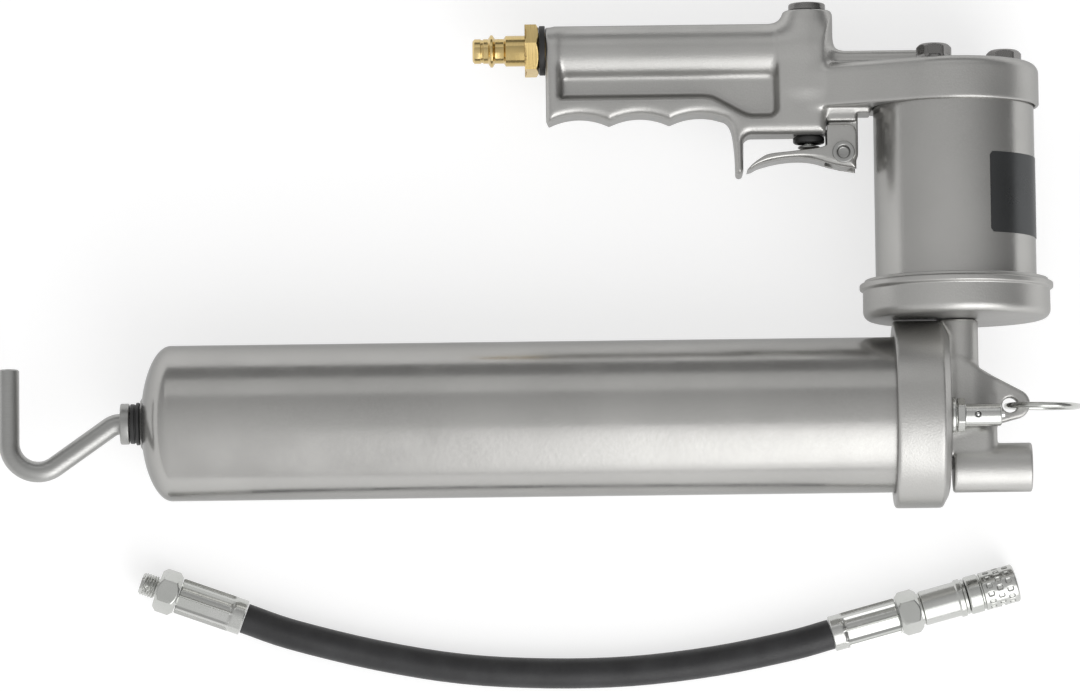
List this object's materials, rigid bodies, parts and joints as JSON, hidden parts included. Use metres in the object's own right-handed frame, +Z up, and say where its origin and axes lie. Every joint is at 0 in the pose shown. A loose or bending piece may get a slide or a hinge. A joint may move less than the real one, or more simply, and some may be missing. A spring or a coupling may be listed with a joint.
{
  "type": "pneumatic grease gun",
  "caption": "Air-operated grease gun with pistol handle, trigger valve, air cylinder, grease barrel with hooked follower rod, and a loose delivery hose with a grease coupler",
  "frame": {"origin": "centre of the box around the gun without its hose, at the height of the surface it lies on", "axes": "+X along the barrel from the hook to the grease head, +Y from the barrel to the handle, +Z up from the surface it lies on"},
  "size_m": [0.3902, 0.2469, 0.0709],
  "materials": {
    "cast_paint": "satin silver-grey metallic paint on cast aluminium",
    "cylinder_paint": "satin silver-grey metallic paint on aluminium tube",
    "bare_aluminium": "turned bare aluminium",
    "tube_paint": "satin silver-grey metallic paint on steel",
    "zinc_steel": "bright zinc-plated steel",
    "bright_steel": "polished hardened steel",
    "dark_steel": "black oxide steel",
    "plug_brass": "turned brass",
    "black_plastic": "matt black moulded plastic",
    "hose_rubber": "matt black hose rubber",
    "seal_rubber": "black nitrile rubber"
  },
  "bodies": {
    "gun": {"handle_casting": "cast_paint", "grease_head": "cast_paint", "cylinder_base": "cast_paint", "air_cylinder": "cylinder_paint", "head_plate": "bare_aluminium", "head_gasket": "seal_rubber", "head_bolt_1": "dark_steel", "head_bolt_2": "dark_steel", "head_bolt_3": "dark_steel", "gland_nut": "zinc_steel", "plunger_packing": "seal_rubber", "return_spring": "dark_steel", "barrel_gasket": "seal_rubber", "bleed_valve": "zinc_steel", "check_screw": "zinc_steel", "check_spring": "dark_steel", "valve_cap": "zinc_steel", "valve_cap_seal": "seal_rubber", "valve_bush": "zinc_steel", "valve_spring": "dark_steel", "stem_seal": "seal_rubber", "trigger_pin": "zinc_steel", "inlet_plug": "plug_brass", "inlet_washer": "seal_rubber", "hose": "hose_rubber", "stem_ferrule": "zinc_steel", "hose_stem": "zinc_steel", "coupler_ferrule": "zinc_steel", "coupler_body": "zinc_steel", "coupler_sleeve": "zinc_steel", "coupler_seal": "seal_rubber", "coupler_spring": "dark_steel"},
    "barrel": {"barrel": "tube_paint", "rod_bush": "black_plastic", "follower_spring": "dark_steel"},
    "follower": {"follower": "zinc_steel"},
    "rod": {"follower_rod": "zinc_steel", "rod_collar": "zinc_steel"},
    "trigger": {"trigger": "tube_paint"},
    "valve": {"valve_stem": "zinc_steel"},
    "piston": {"air_piston": "bare_aluminium", "piston_seal": "seal_rubber", "piston_nut": "zinc_steel", "pump_plunger": "bright_steel"},
    "check_ball": {"check_ball": "bright_steel"},
    "bleed_pin": {"bleed_pin": "bright_steel"},
    "hang_ring": {"hang_ring": "zinc_steel"},
    "coupler_jaws": {"coupler_jaw_1": "bright_steel", "coupler_jaw_2": "bright_steel", "coupler_jaw_3": "bright_steel", "coupler_jaw_4": "bright_steel"}
  },
  "joints": [
    {"name": "trigger_pull", "type": "hinge", "parent": "gun", "child": "trigger", "pos_m": [0.11035, 0.03634, 0.03102], "axis": [0.0331, -0.0528, -0.9981], "range_deg": [0, 9], "stiffness_Nm_per_rad": 1.2, "springref_deg": -14.32},
    {"name": "valve_lift", "type": "slide", "parent": "gun", "child": "valve", "axis": [0.0017, 0.9986, -0.0528], "range_m": [0, 0.0025], "deforming": ["valve_spring"]},
    {"name": "air_stroke", "type": "slide", "parent": "gun", "child": "piston", "axis": [-0.0017, -0.9986, 0.0528], "range_m": [0, 0.028], "stiffness_N_per_m": 400, "springref_m": -0.03, "deforming": ["return_spring"]},
    {"name": "barrel_turn", "type": "hinge", "parent": "gun", "child": "barrel", "pos_m": [0.15037, -0.05803, 0.03734], "axis": [0.9995, 0, 0.0331], "range_deg": [0, 1080]},
    {"name": "follower_slide", "type": "slide", "parent": "barrel", "child": "follower", "axis": [-0.9995, 0, -0.0331], "range_m": [0, 0.235], "stiffness_N_per_m": 150, "springref_m": -0.1, "deforming": ["follower_spring"]},
    {"name": "rod_twist", "type": "hinge", "parent": "follower", "child": "rod", "pos_m": [0.15037, -0.05803, 0.03734], "axis": [0.9995, 0, 0.0331], "continuous": true},
    {"name": "check_lift", "type": "slide", "parent": "gun", "child": "check_ball", "axis": [0.9995, 0, 0.0331], "range_m": [0, 0.002], "stiffness_N_per_m": 300, "springref_m": -0.003, "deforming": ["check_spring"]},
    {"name": "bleed_press", "type": "slide", "parent": "gun", "child": "bleed_pin", "axis": [-0.9995, 0, -0.0331], "range_m": [0, 0.0012], "stiffness_N_per_m": 500, "springref_m": -0.002},
    {"name": "ring_swing", "type": "hinge", "parent": "gun", "child": "hang_ring", "pos_m": [0.16876, -0.05513, 0.0378], "axis": [-0.0017, -0.9986, 0.0528], "range_deg": [0, 40]},
    {"name": "jaw_slide", "type": "slide", "parent": "gun", "child": "coupler_jaws", "axis": [-0.9662, -0.2577, 0], "range_m": [0, 0.0025], "stiffness_N_per_m": 800, "springref_m": -0.002, "deforming": ["coupler_spring"]}
  ],
  "couplings": [
    {"joint": "valve_lift", "follows": "trigger_pull", "m_per_rad": 0.0135}
  ]
}
